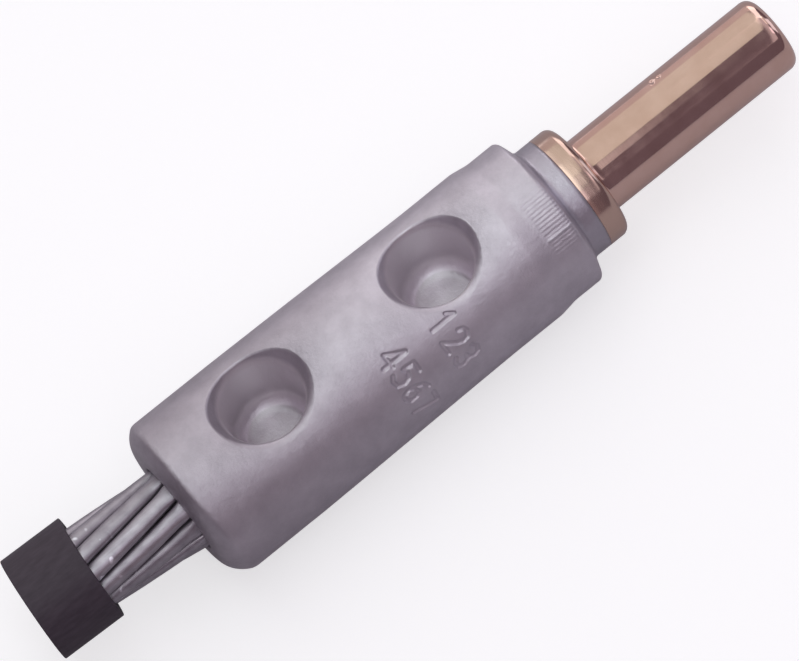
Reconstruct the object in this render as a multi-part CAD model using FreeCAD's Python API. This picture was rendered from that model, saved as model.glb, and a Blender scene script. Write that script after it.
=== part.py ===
"""Bimetallic pin terminal, crimped on a short end of insulated aluminium cable.

An aluminium barrel takes the stranded conductor and a copper pin is friction welded to its front.
Two deep dents hold the conductor. Sizes are in millimetres and angles in degrees.
+X runs along the axis towards the pin's tip, +Z is the side that the dents were pressed from,
and X = 0 is where the pin's straight shank begins, just past the fillet at the flange.
"""

import FreeCAD, Part
import math
import os

from FreeCAD import Rotation, Vector

# A rounded edge is turned as a few narrow cones, none wider than this
PIN_ROUND_STEP = 0.69
BARREL_ROUND_STEP = 1.3
DENT_ROUND_STEP = 1.5

# Copper pin and flange
PIN_DIAMETER = 12.0
PIN_LENGTH = 34.2
PIN_TIP_ROUND = 1.6
PIN_ROOT_FILLET = 0.6
FLANGE_THICKNESS = 3.6
FLANGE_EDGE_ROUND = 1.3

# Friction weld: the flange and the barrel's collar are turned to one diameter
WELD_DIAMETER = 18.8
COLLAR_LENGTH = 2.9
COLLAR_ROOT_FILLET = 1.0

# Barrel, from its shoulder back to its mouth
BARREL_LENGTH = 68.9
BARREL_DIAMETER = 25.6
SHOULDER_SLOPE_LENGTH = 1.1
SHOULDER_ROUND = 0.8
BAND_DIAMETER = 24.7
BAND_LENGTH = 4.9
BAND_STEP_LENGTH = 1.3
BAND_STEP_ROUND = 0.8

# The crimp swells the barrel towards its mouth
SWELL = 0.52
SWELL_LENGTH = 28.5
SWELL_TAPER_LENGTH = 9.0

# Mouth: an elliptical rounding, softer under the cable than on the side of the dents
MOUTH_ROUND_LENGTH = 6.2
MOUTH_ROUND_HEIGHT = 4.8
MOUTH_ROUND_SHIFT = 0.73
MOUTH_ROUND_MARGIN = 0.1
MOUTH_ROUND_STEPS = 7
BORE_DIAMETER = 14.2
BORE_DEPTH = 62.0

# Crimp dents
DENT_COUNT = 2
DENT_FROM_MOUTH = 18.0
DENT_PITCH = 30.7
DENT_DEPTH = 14.8
DENT_DIAMETER = 12.5
DENT_FLOOR_FILLET = 1.7
DENT_FLARE_ANGLE = 70.0
DENT_FLARE_ROUND = 3.6
DENT_FLARE_DROP = 1.3

# Roof of the bore, which each dent pushes down on the strands
ROOF_THICKNESS = 1.5
ROOF_FLAT_LENGTH = 13.2
ROOF_SLOPE_LENGTH = 3.8

# Conductor: compacted strands, one core, an inner layer and an outer layer
CONDUCTOR_DIAMETER = 13.0
INNER_STRANDS = 6
OUTER_STRANDS = 12
CORE_DIAMETER = 2.6
STRAND_GAP = 0.27
OPEN_SQUARENESS = 3.0
GRIP_SQUARENESS = 8.0
STRAND_CORNERS = 8
HIDDEN_STRAND_CORNERS = 6
OPEN_STEPS = 3
GRIP_STEP = 15.0
LAY_LENGTH = 160.0
LAY_PHASE = 2.5
BARE_LENGTH = 14.7
MOUTH_CLEARANCE = 0.25
BORE_CLEARANCE = 0.1
GRIP_START = 3.0

# Cable end: its axis leans a little to one side, and both of its cuts are slanted
INSULATED_LENGTH = 10.3
INSULATION_THICKNESS = 1.75
INSULATION_GAP = 0.05
BARE_LEAN = 5.3
CABLE_LEAN = 2.0
LEAN_TOWARDS = 26.5
CUT_SLANT = 8.0
CUT_SLANT_TOWARDS = 152.0

# Stations along X
flange_face = -PIN_ROOT_FILLET
pin_tip = flange_face + PIN_LENGTH
weld = flange_face - FLANGE_THICKNESS
collar_root = weld - COLLAR_LENGTH
shoulder = collar_root - SHOULDER_SLOPE_LENGTH
band_start = shoulder - BAND_LENGTH
mouth = collar_root - BARREL_LENGTH
bore_bottom = mouth + BORE_DEPTH
grip_start = mouth + GRIP_START
strip_edge = mouth - BARE_LENGTH
cable_end = strip_edge - INSULATED_LENGTH
dent_places = [mouth + DENT_FROM_MOUTH + DENT_PITCH * i for i in range(DENT_COUNT)]

# Radii and heights from the axis
pin_radius = PIN_DIAMETER / 2
weld_radius = WELD_DIAMETER / 2
band_radius = BAND_DIAMETER / 2
barrel_radius = BARREL_DIAMETER / 2
swell_radius = barrel_radius + SWELL
bore_radius = BORE_DIAMETER / 2
core_radius = CORE_DIAMETER / 2
conductor_radius = CONDUCTOR_DIAMETER / 2
dent_floor = barrel_radius - DENT_DEPTH
roof_low = dent_floor - ROOF_THICKNESS
insulation_bore = conductor_radius + INSULATION_GAP
insulation_radius = insulation_bore + INSULATION_THICKNESS


def rounded_corner(before, corner, after, radius, longest):
    """Points of the arc that rounds a corner, as equal chords no longer than the longest."""
    back = (before - corner).normalize()
    ahead = (after - corner).normalize()
    half_angle = back.getAngle(ahead) / 2
    centre = corner + (back + ahead).normalize() * (radius / math.sin(half_angle))
    tangent = radius / math.tan(half_angle)
    start = corner + back * tangent - centre
    end = corner + ahead * tangent - centre
    turn = 180 - 2 * math.degrees(half_angle)
    steps = math.ceil(math.radians(turn) * radius / longest)
    axis = start.cross(end)
    return [centre + Rotation(axis, turn * i / steps).multVec(start) for i in range(steps + 1)]


def outline_face(corners, round_step):
    """Face inside a closed outline of straight runs. Each corner is (point, rounding radius)."""
    points = []
    count = len(corners)
    for i, (corner, radius) in enumerate(corners):
        if radius:
            before = corners[i - 1][0]
            after = corners[(i + 1) % count][0]
            points += rounded_corner(before, corner, after, radius, round_step)
        else:
            points.append(corner)
    return Part.Face(Part.makePolygon(points + points[:1]))


def turned(profile, round_step):
    """Solid turned about the X axis. The profile lists (x, radius, rounding)."""
    corners = [(Vector(x, 0, -radius), rounding) for x, radius, rounding in profile]
    return outline_face(corners, round_step).revolve(Vector(0, 0, 0), Vector(1, 0, 0), 360)


def radial(angle):
    """Unit vector square to X. The angle runs from +Y towards +Z."""
    return Vector(0, math.cos(math.radians(angle)), math.sin(math.radians(angle)))


def copper_pin():
    """Pin and flange, turned from one bar. Its back face is the weld."""
    return turned(
        [
            (weld, 0, 0),
            (weld, weld_radius, 0),
            (flange_face, weld_radius, FLANGE_EDGE_ROUND),
            (flange_face, pin_radius, PIN_ROOT_FILLET),
            (pin_tip, pin_radius, PIN_TIP_ROUND),
            (pin_tip, 0, 0),
        ],
        PIN_ROUND_STEP,
    )


def barrel_blank():
    """Barrel, band, sloped shoulder and collar as one turned bar."""
    return turned(
        [
            (mouth, 0, 0),
            (mouth, swell_radius, 0),
            (mouth + SWELL_LENGTH, swell_radius, 0),
            (mouth + SWELL_LENGTH + SWELL_TAPER_LENGTH, barrel_radius, 0),
            (band_start - BAND_STEP_LENGTH, barrel_radius, BAND_STEP_ROUND),
            (band_start, band_radius, BAND_STEP_ROUND),
            (shoulder, band_radius, SHOULDER_ROUND),
            (collar_root, weld_radius, COLLAR_ROOT_FILLET),
            (weld, weld_radius, 0),
            (weld, 0, 0),
        ],
        BARREL_ROUND_STEP,
    )


def mouth_form():
    """Everything inside the rounding of the mouth, turned about a line raised above the axis."""
    flat = swell_radius + MOUTH_ROUND_SHIFT + MOUTH_ROUND_MARGIN - MOUTH_ROUND_HEIGHT
    reach = 2 * swell_radius
    corners = [(weld, 0), (mouth, 0)]
    for i in range(MOUTH_ROUND_STEPS + 1):
        angle = math.pi / 2 * i / MOUTH_ROUND_STEPS
        back = mouth + MOUTH_ROUND_LENGTH * (1 - math.cos(angle))
        corners.append((back, flat + MOUTH_ROUND_HEIGHT * math.sin(angle)))
    corners += [(mouth + MOUTH_ROUND_LENGTH, reach), (weld, reach)]
    form = turned([(x, radius, 0) for x, radius in corners], BARREL_ROUND_STEP)
    form.translate(Vector(0, 0, MOUTH_ROUND_SHIFT))
    return form


def punch(place):
    """The space of one dent: flat floor, round wall and a mouth flared by the metal drawn in."""
    wall_radius = DENT_DIAMETER / 2
    flare = swell_radius - DENT_FLARE_DROP
    rise = barrel_radius
    reach = rise * math.tan(math.radians(DENT_FLARE_ANGLE))
    corners = [
        (Vector(0, 0, dent_floor), 0),
        (Vector(wall_radius, 0, dent_floor), DENT_FLOOR_FILLET),
        (Vector(wall_radius, 0, flare), DENT_FLARE_ROUND),
        (Vector(wall_radius + reach, 0, flare + rise), 0),
        (Vector(0, 0, flare + rise), 0),
    ]
    outline = outline_face(corners, DENT_ROUND_STEP)
    space = outline.revolve(Vector(0, 0, 0), Vector(0, 0, 1), 360)
    space.translate(Vector(place, 0, 0))
    return space


def roof_outline(place):
    """Side view of the metal that one dent pushes into the bore."""
    half_flat = ROOF_FLAT_LENGTH / 2
    half_top = half_flat + ROOF_SLOPE_LENGTH
    return [
        (place - half_top, bore_radius),
        (place - half_flat, roof_low),
        (place + half_flat, roof_low),
        (place + half_top, bore_radius),
    ]


def roof_height(x):
    """Height of the bore's roof at x."""
    knots = [(mouth, bore_radius)]
    for place in dent_places:
        knots += roof_outline(place)
    knots.append((bore_bottom, bore_radius))
    for (x0, z0), (x1, z1) in zip(knots, knots[1:]):
        if x0 <= x <= x1:
            return z0 + (z1 - z0) * (x - x0) / (x1 - x0)
    return bore_radius


def crimped_bore():
    """The blind bore, less the metal that the dents push into it."""
    bore = Part.makeCylinder(bore_radius, BORE_DEPTH, Vector(mouth, 0, 0), Vector(1, 0, 0))
    for place in dent_places:
        points = [Vector(x, -bore_radius, z) for x, z in roof_outline(place)]
        pushed = Part.Face(Part.makePolygon(points + points[:1]))
        bore = bore.cut(pushed.extrude(Vector(0, 2 * bore_radius, 0)))
    return bore


def barrel():
    """The crimped aluminium barrel, one solid."""
    solid = barrel_blank().common(mouth_form())
    for place in dent_places:
        solid = solid.cut(punch(place))
    return solid.cut(crimped_bore())


def cable_axis(x):
    """Point on the cable's axis: straight in the bore, leaning once it leaves the mouth."""
    bare = max(0, mouth - max(x, strip_edge))
    covered = max(0, strip_edge - x)
    shift = bare * math.tan(math.radians(BARE_LEAN))
    shift += covered * math.tan(math.radians(CABLE_LEAN))
    return Vector(x, 0, 0) + radial(LEAN_TOWARDS) * shift


def cut_normal():
    """Direction square to the cable's slanted cuts."""
    slant = math.radians(CUT_SLANT)
    return Vector(math.cos(slant), 0, 0) + radial(CUT_SLANT_TOWARDS) * math.sin(slant)


def offcut(x, way):
    """What a slanted cut at x takes away, towards the cable (-1) or towards the pin (+1)."""
    reach = INSULATED_LENGTH + insulation_radius
    return Part.makeCylinder(reach, reach, cable_axis(x), cut_normal() * way)


def insulation():
    """Short sleeve of the cable's insulation, cut on the slant at both ends."""
    margin = insulation_radius
    back = cable_axis(cable_end - margin)
    along = cable_axis(strip_edge) - back
    length = along.Length + margin
    sleeve = Part.makeCylinder(insulation_radius, length, back, along)
    sleeve = sleeve.cut(Part.makeCylinder(insulation_bore, length, back, along))
    return sleeve.cut(offcut(cable_end, -1)).cut(offcut(strip_edge, 1))


def layer(name):
    """Inside radius, outside radius, number of strands and corners of a strand, for one layer."""
    split = (core_radius + conductor_radius) / 2
    if name == "inner":
        return core_radius + STRAND_GAP, split - STRAND_GAP / 2, INNER_STRANDS, HIDDEN_STRAND_CORNERS
    return split + STRAND_GAP / 2, conductor_radius, OUTER_STRANDS, STRAND_CORNERS


def spread(x):
    """Growth of the conductor, as a share of its radius, as the strands open into the bore."""
    at_mouth = (bore_radius - MOUTH_CLEARANCE) / conductor_radius - 1
    at_grip = (bore_radius - BORE_CLEARANCE) / conductor_radius - 1
    if x < mouth:
        way = max(0, (x - strip_edge) / BARE_LENGTH)
        return at_mouth * way * way
    way = min(1, (x - mouth) / GRIP_START)
    return at_mouth + (at_grip - at_mouth) * way


def lay_angle(x):
    """Turn of the strands at x. They are laid left-handed."""
    return LAY_PHASE - 360 * (x - mouth) / LAY_LENGTH


def squeezed(x, offset):
    """Where the crimp moves a point of the conductor that lay in the open bore."""
    roof = roof_height(x)
    narrow = math.sqrt(bore_radius**2 - min(roof, 0) ** 2) / bore_radius
    old_half_height = math.sqrt(bore_radius**2 - offset.y**2)
    y = offset.y * narrow
    half_height = math.sqrt(bore_radius**2 - y**2)
    height = min(roof, half_height) + half_height
    share = (offset.z + old_half_height) / (2 * old_half_height)
    return Vector(0, y, share * height - half_height)


def power(value, exponent):
    """Power of a value's size, with the value's own sign."""
    return math.copysign(abs(value) ** exponent, value)


def strand_ring(x, name, number):
    """Keystone section of a strand at x: rounded outside, flat-sided where the crimp grips it."""
    low, high, count, corners = layer(name)
    squareness = GRIP_SQUARENESS if x > grip_start else OPEN_SQUARENESS
    middle = (low + high) / 2
    ring = []
    for i in range(corners):
        way = 2 * math.pi * i / corners
        outwards = power(math.sin(way), 2 / squareness)
        across = power(math.cos(way), 2 / squareness)
        radius = middle + outwards * (high - low) / 2
        angle = across * (math.pi / count - STRAND_GAP / 2 / radius)
        out = radius * math.cos(angle) + spread(x) * middle
        turn = lay_angle(x) + 360 * number / count
        offset = radial(turn) * out + radial(turn + 90) * radius * math.sin(angle)
        if x > mouth:
            offset = squeezed(x, offset)
        ring.append(cable_axis(x) + offset)
    return ring


def slanted(ring):
    """The ring of the cable's cut end, moved along X onto the slanted cut."""
    normal = cut_normal()
    centre = cable_axis(cable_end)
    moved = []
    for point in ring:
        moved.append(point - Vector(1, 0, 0) * ((point - centre).dot(normal) / normal.x))
    return moved


def strand_stations():
    """Places of a strand's sections: evenly spaced in the open, at each bend of the roof inside."""
    places = []
    for i in range(OPEN_STEPS):
        places.append(cable_end + (grip_start - cable_end) * i / OPEN_STEPS)
    places.append(grip_start)
    bends = [x for place in dent_places for x, height in roof_outline(place)]
    bends.append(bore_bottom - BORE_CLEARANCE)
    for bend in bends:
        steps = math.ceil((bend - places[-1]) / GRIP_STEP)
        start = places[-1]
        for i in range(1, steps + 1):
            places.append(start + (bend - start) * i / steps)
    return places


def facet(points):
    """Flat face with these corners."""
    return Part.Face(Part.makePolygon(points + points[:1]))


def skinned(rings):
    """Solid through rings of points. Each strip splits along the diagonal that its neighbour uses."""
    facets = [facet(rings[0]), facet(rings[-1])]
    for near, far in zip(rings, rings[1:]):
        count = len(near)
        for i in range(count):
            a, b = near[i], near[(i + 1) % count]
            c, d = far[(i + 1) % count], far[i]
            if i < count // 4 or i >= 3 * count // 4:
                facets += [facet([a, b, c]), facet([a, c, d])]
            else:
                facets += [facet([a, b, d]), facet([b, c, d])]
    solid = Part.Solid(Part.Shell(facets))
    if solid.Volume < 0:
        solid.reverse()
    return solid


def core_ring(x):
    """Section of the core strand at x."""
    ring = []
    for i in range(HIDDEN_STRAND_CORNERS):
        offset = radial(lay_angle(x) + 360 * i / HIDDEN_STRAND_CORNERS) * core_radius
        if x > mouth:
            offset = squeezed(x, offset)
        ring.append(cable_axis(x) + offset)
    return ring


def core_strand():
    """The straight strand in the middle of the conductor."""
    rings = [core_ring(x) for x in strand_stations()]
    rings[0] = slanted(rings[0])
    return skinned(rings)


def strand(name, number):
    """One strand of a layer, from the cable's cut end to the bottom of the bore."""
    rings = [strand_ring(x, name, number) for x in strand_stations()]
    rings[0] = slanted(rings[0])
    return skinned(rings)


def main():
    """Writes one STEP file for each piece."""
    os.makedirs("parts", exist_ok=True)
    shapes = {
        "barrel": barrel(),
        "pin": copper_pin(),
        "insulation": insulation(),
        "wire_core": core_strand(),
    }
    for number in range(1, INNER_STRANDS + 1):
        shapes[f"wire_inner_{number}"] = strand("inner", number)
    for number in range(1, OUTER_STRANDS + 1):
        shapes[f"wire_outer_{number}"] = strand("outer", number)
    for name, shape in shapes.items():
        shape.exportStep(f"parts/{name}.step")


main()
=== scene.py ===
"""Looks of a bimetallic pin terminal, crimped on a short end of insulated aluminium cable.

Sizes are in millimetres and are turned into metres when a mesh is made. +X is the axis towards the
pin's tip and +Z the side that the dents were pressed from. Angles round the axis run from +Y to +Z.
"""

import math

import bmesh
import bpy
import numpy as np
from mathutils import Matrix, Vector


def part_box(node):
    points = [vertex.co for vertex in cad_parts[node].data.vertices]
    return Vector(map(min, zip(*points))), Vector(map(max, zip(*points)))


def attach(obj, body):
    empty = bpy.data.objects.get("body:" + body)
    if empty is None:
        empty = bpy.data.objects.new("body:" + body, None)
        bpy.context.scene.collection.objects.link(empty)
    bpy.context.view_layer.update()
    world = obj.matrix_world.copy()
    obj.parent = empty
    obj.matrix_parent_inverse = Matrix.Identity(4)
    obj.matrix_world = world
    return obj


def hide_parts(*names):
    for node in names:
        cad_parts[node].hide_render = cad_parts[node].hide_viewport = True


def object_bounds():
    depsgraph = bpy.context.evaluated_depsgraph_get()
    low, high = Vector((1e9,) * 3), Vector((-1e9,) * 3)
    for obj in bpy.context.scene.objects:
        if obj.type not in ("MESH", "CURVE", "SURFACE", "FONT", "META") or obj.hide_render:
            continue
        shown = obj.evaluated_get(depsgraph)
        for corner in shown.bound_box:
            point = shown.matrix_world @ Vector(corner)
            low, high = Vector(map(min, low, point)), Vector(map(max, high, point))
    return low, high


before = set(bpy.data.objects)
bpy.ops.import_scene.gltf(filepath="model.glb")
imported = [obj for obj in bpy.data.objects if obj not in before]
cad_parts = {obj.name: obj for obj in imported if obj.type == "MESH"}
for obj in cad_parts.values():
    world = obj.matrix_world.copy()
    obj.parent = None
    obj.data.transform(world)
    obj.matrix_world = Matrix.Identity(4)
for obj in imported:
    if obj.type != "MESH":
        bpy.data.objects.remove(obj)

CAD_BOX = [list(corner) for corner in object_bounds()]
MM = 0.001
TURN = 2 * math.pi


def box_mm(node):
    """Lowest and highest corner of a CAD node, in millimetres."""
    low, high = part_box(node)
    return np.array(low) / MM, np.array(high) / MM


BARREL_LOW, BARREL_HIGH = box_mm("barrel")
PIN_LOW, PIN_HIGH = box_mm("pin")
# How far the barrel's skin stays inside its box
BOX_INSET = 0.02

# Stations along X
MOUTH = BARREL_LOW[0]
WELD = BARREL_HIGH[0]
PIN_TIP = PIN_HIGH[0]
FLANGE_FACE = WELD + 3.6
COLLAR_ROOT = WELD - 2.9
SHOULDER = COLLAR_ROOT - 1.1
BAND_START = SHOULDER - 4.9
BAND_STEP = BAND_START - 2.8
BORE_BOTTOM = MOUTH + 62.0
DENT_PLACES = [MOUTH + 18.0, MOUTH + 48.7]
TAPER_START = -60.0
TAPER_END = -24.0
STRIP_EDGE = MOUTH - 14.7
CABLE_END = STRIP_EDGE - 10.3
GRIP_START = MOUTH + 3.0

# Radii
SWELL_RADIUS = (BARREL_HIGH[1] - BARREL_LOW[1]) / 2 - BOX_INSET
FRONT_RADIUS = 12.78
BAND_RADIUS = 12.35
WELD_RADIUS = (PIN_HIGH[1] - PIN_LOW[1]) / 2
COLLAR_RADIUS = WELD_RADIUS - BOX_INSET
PIN_RADIUS = 6.0
BORE_RADIUS = 7.1
CONDUCTOR_RADIUS = 6.5
CORE_RADIUS = 1.3

# Roundings of the barrel and the pin
BORE_EDGE = 0.35
BAND_STEP_ROUND = 6.0
SHOULDER_ROUND = 0.8
COLLAR_ROUND = 0.9
WELD_EDGE = 0.12
FLANGE_EDGE = 1.3
PIN_ROOT = 0.6
PIN_TIP_EDGE = 1.6
# Share of the barrel's taper that eases in and out
TAPER_EASED = 0.3

# Dents: a flat round floor, a straight wall and a flare towards the rim
DENT_FLOOR = -2.0
DENT_RADIUS = 6.25
DENT_FLOOR_FILLET = 2.8
DENT_FLARE = math.radians(28)
DENT_FLARE_ROUND = 2.5
DENT_FLARE_DROP = 3.8
DENT_FLARE_RISE = 6.0
# Softening of the rims on the wall and on the skin: everywhere, and the part added towards -Y
RIM_SOFT_IN = (0.4, 0.5)
RIM_SOFT_OUT = (0.35, 0.75)
# Skin that the dents draw in: the rims' reach from their centres, the depth there and how it fades
RIM_REACH_X = 7.9
RIM_REACH_Y = 6.7
DRAWN_DEPTH = 0.75
DRAWN_REACH = 0.45

# Mouth rounding, an ellipse turned about a line raised above the axis
LIP_LENGTH = 6.2
LIP_HEIGHT = 4.8
LIP_SHIFT = 0.73
LIP_MARGIN = 0.12
# Softening of the crease where it meets the skin: the share taken off the ellipse, and the skin's
CREASE_BACK = 0.1
CREASE_SOFT = 0.7

# Roof of the bore under the dents
ROOF_LOW = -3.5
ROOF_HALF_FLAT = 6.6
ROOF_SLOPE = 3.8

# Cable
BARE_LEAN = math.radians(5.3)
CABLE_LEAN = math.radians(2.0)
LEAN_TOWARDS = math.radians(26.5)
CUT_SLANT = math.radians(8.0)
CUT_TOWARDS = math.radians(152.0)
CUT_REACH = 4.0
LAY_LENGTH = 160.0
LAY_PHASE = math.radians(2.5)
INSULATION_BORE = 6.55
INSULATION_RADIUS = 8.3
INSULATION_EDGE = 0.15

# Strands: their play in the bore, half the gap between neighbours and the gap between layers
MOUTH_PLAY = 0.25
GRIP_PLAY = 0.1
STRAND_GAP = 0.04
LAYER_GAP = 0.1
LAYER_SPLIT = (CORE_RADIUS + CONDUCTOR_RADIUS) / 2
# Exponents of their sections, from nearly round in the open to nearly square under the crimp
OPEN_SQUARENESS = 2.25
GRIPPED_SQUARENESS = 8.0
# Layers: name, number of strands, inner and outer radius, and corners of a strand's section
LAYERS = [
    ("inner", 6, CORE_RADIUS + LAYER_GAP, LAYER_SPLIT - LAYER_GAP / 2, 20),
    ("outer", 12, LAYER_SPLIT + LAYER_GAP / 2, CONDUCTOR_RADIUS, 28),
]

# Fineness of the meshes: points round a ring, and longest steps along the skin, bore and pin
BARREL_TURNS = 180
PIN_TURNS = 160
CORE_TURNS = 16
INSULATION_TURNS = 128
SKIN_STEP = 0.5
BORE_STEP = 1.2
PIN_STEP = 0.8

# Patches of finer rings for the dents: start and end along X, half their width round the axis,
# a radius that turns that angle into a length, and how the rings crowd towards the rim
DENT_PATCHES = [(MOUTH + LIP_LENGTH + 0.1, -45.5), (-39.8, -16.8)]
PATCH_HALF = math.radians(60)
PATCH_RADIUS = 11.5
PATCH_EASE = 0.4
# Farthest that a rim may lie from its dent's centre
RIM_LIMIT = 11.0


# Mesh helpers

def radial(angle):
    """Unit vectors square to X, for an angle or an array of them."""
    angle = np.asarray(angle, float)
    return np.stack([np.zeros_like(angle), np.cos(angle), np.sin(angle)], -1)


def ring_angles(count):
    return np.arange(count) * TURN / count


def ring_at(x, angle, radius):
    """Points at angles round the axis. x and radius are numbers, or arrays like the angles."""
    x = x + np.zeros_like(angle)
    return radial(angle) * np.reshape(radius, (-1, 1)) + np.stack([x, 0 * x, 0 * x], -1)


def smooth_step(value, low, high):
    way = np.clip((value - low) / (high - low), 0, 1)
    return way * way * (3 - 2 * way)


def make_piece(name, points, faces, material, node_names, sculpt=None):
    """Object from points in millimetres, standing for CAD nodes. sculpt works on its bmesh."""
    mesh = bpy.data.meshes.new(name)
    mesh.from_pydata(np.asarray(points).tolist(), [], faces)
    mesh.validate()
    piece = bpy.data.objects.new(name, mesh)
    bpy.context.scene.collection.objects.link(piece)
    bm = bmesh.new()
    bm.from_mesh(mesh)
    bmesh.ops.recalc_face_normals(bm, faces=bm.faces)
    if sculpt:
        sculpt(bm)
    bmesh.ops.scale(bm, vec=(MM, MM, MM), verts=bm.verts)
    bm.to_mesh(mesh)
    bm.free()
    mesh.shade_smooth()
    mesh.materials.append(material)
    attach(piece, "root")
    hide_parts(*node_names)


def ring_faces(count, rings, first=0):
    """Quads between rings of count points each."""
    faces = []
    for j in range(rings - 1):
        for k in range(count):
            a = first + j * count + k
            b = first + j * count + (k + 1) % count
            faces.append((a, b, b + count, a + count))
    return faces


def end_faces(count, rings):
    """Faces that close the first and the last ring."""
    last = (rings - 1) * count
    return [tuple(range(count)), tuple(range(last, last + count))]


def bend(start, corner, end):
    """Rings that lead from one ring to another, rounding the corner between them."""
    rings = []
    for way in np.linspace(0, 1, 9)[1:]:
        rings.append(start * (1 - way) ** 2 + corner * 2 * way * (1 - way) + end * way**2)
    return rings


def rounded_outline(corners, steps):
    """Outline of (x, radius) with each corner rounded. Each corner is (x, radius, rounding)."""
    out = []
    for i, (x, r, rounding) in enumerate(corners):
        here = np.array([x, r], float)
        if rounding == 0 or i in (0, len(corners) - 1):
            out.append(here)
            continue
        back = np.array(corners[i - 1][:2]) - here
        ahead = np.array(corners[i + 1][:2]) - here
        back /= np.linalg.norm(back)
        ahead /= np.linalg.norm(ahead)
        half = math.acos(np.clip(back @ ahead, -1, 1)) / 2
        middle = (back + ahead) / np.linalg.norm(back + ahead)
        centre = here + middle * rounding / math.sin(half)
        start = here + back * rounding / math.tan(half) - centre
        end = here + ahead * rounding / math.tan(half) - centre
        turn = math.pi - 2 * half
        for k in range(steps + 1):
            way = k / steps
            weight = (math.sin((1 - way) * turn), math.sin(way * turn))
            out.append(centre + (start * weight[0] + end * weight[1]) / math.sin(turn))
    return out


def divided(outline, longest):
    """The outline with its long runs cut into shorter ones, so that its shading stays true."""
    out = [outline[0]]
    for point in outline[1:]:
        last = out[-1]
        count = max(1, round(float(np.linalg.norm(point - last)) / longest))
        out += [last + (point - last) * k / count for k in range(1, count + 1)]
    return out


# Barrel

def body_radius(x):
    """Radius of the barrel's body: swollen towards the mouth, then tapering to the front."""
    way = np.clip((x - TAPER_START) / (TAPER_END - TAPER_START), 0, 1)
    eased = (1 - TAPER_EASED) * way + TAPER_EASED * way * way * (3 - 2 * way)
    return SWELL_RADIUS + (FRONT_RADIUS - SWELL_RADIUS) * eased


def side_of(angle):
    """Angle from +Z to either side, for an angle round the axis."""
    return np.abs((math.pi / 2 - angle + math.pi) % TURN - math.pi)


def drawn_in(x, side):
    """How far the dents draw the skin in, at x and an angle from +Z."""
    depth = 0
    for place in DENT_PLACES:
        along = (x - place) / RIM_REACH_X
        across = side * body_radius(x) / RIM_REACH_Y
        reach = np.sqrt(along**2 + across**2)
        depth = depth + DRAWN_DEPTH * np.exp(-np.maximum(reach - 1, 0) / DRAWN_REACH)
    return depth


def skin_radius(x, angle):
    """Radius of the barrel's skin at x and an angle round the axis."""
    return body_radius(x) - drawn_in(x, side_of(angle))


def skin_ring(x, angle):
    return ring_at(x, angle, skin_radius(x, angle))


def skin_run(start, end, angle):
    """Rings of the skin after the start and up to the end."""
    count = round((end - start) / SKIN_STEP)
    return [skin_ring(x, angle) for x in np.linspace(start, end, count + 1)[1:]]


def lip_radius(way, angle):
    """Radius of the mouth's rounding. way is the angle along its ellipse, 0 at the mouth."""
    flat = SWELL_RADIUS + LIP_SHIFT + LIP_MARGIN - LIP_HEIGHT
    radius = flat + LIP_HEIGHT * np.sin(way)
    return LIP_SHIFT * np.sin(angle) + np.sqrt(radius**2 - (LIP_SHIFT * np.cos(angle)) ** 2)


def lip_x(way):
    return MOUTH + LIP_LENGTH * (1 - np.cos(way))


def lip_crease(angle):
    """Ellipse angle at which the mouth's rounding meets the skin, at each angle round the axis."""
    ways = np.linspace(0.2, math.pi / 2, 500)[:, None]
    gap = lip_radius(ways, angle[None]) - skin_radius(lip_x(ways), angle[None])
    first = np.argmax(gap > 0, axis=0)
    first = np.where((gap > 0).any(axis=0), first, len(ways) - 1)
    return ways[first, 0]


def roof_height(x):
    """Height of the bore's roof, which each dent pushes down."""
    xs = []
    zs = []
    for place in DENT_PLACES:
        half_top = ROOF_HALF_FLAT + ROOF_SLOPE
        xs += [place - half_top, place - ROOF_HALF_FLAT, place + ROOF_HALF_FLAT, place + half_top]
        zs += [BORE_RADIUS, ROOF_LOW, ROOF_LOW, BORE_RADIUS]
    return np.interp(x, xs, zs)


def squeezed(x, offset):
    """Where the crimp moves points of the open bore's section. offset is (..., 3)."""
    roof = roof_height(x)
    y0 = offset[..., 1]
    z0 = offset[..., 2]
    narrow = np.sqrt(BORE_RADIUS**2 - np.minimum(roof, 0) ** 2) / BORE_RADIUS
    old_half = np.sqrt(np.maximum(BORE_RADIUS**2 - y0**2, 1e-9))
    y = y0 * narrow
    half = np.sqrt(BORE_RADIUS**2 - y**2)
    height = np.minimum(roof, half) + half
    share = (z0 + old_half) / (2 * old_half)
    return np.stack([offset[..., 0], y, share * height - half], -1)


def dent_profile():
    """Steps along a dent's wall from the floor's centre outwards, and its (reach, height) there."""
    flare = SWELL_RADIUS - DENT_FLARE_DROP
    corners = [
        (0, DENT_FLOOR, 0),
        (DENT_RADIUS, DENT_FLOOR, DENT_FLOOR_FILLET),
        (DENT_RADIUS, flare, DENT_FLARE_ROUND),
        (DENT_RADIUS + DENT_FLARE_RISE * math.tan(DENT_FLARE), flare + DENT_FLARE_RISE, 0),
    ]
    profile = np.array(rounded_outline(corners, 24))
    steps = np.r_[0, np.cumsum(np.linalg.norm(np.diff(profile, axis=0), axis=1))]
    return steps, profile


def outer_at(place, reach, heading):
    """Points of the drawn-in skin over a spot at a reach and heading from a dent's centre."""
    x = place + reach * np.cos(heading)
    y = reach * np.sin(heading)
    radius = body_radius(x)
    for _ in range(3):
        side = np.arcsin(np.clip(y / radius, -1, 1))
        radius = skin_radius(x, math.pi / 2 - side)
    return np.stack([x, y, np.sqrt(np.maximum(radius**2 - y**2, 0))], -1)


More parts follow.
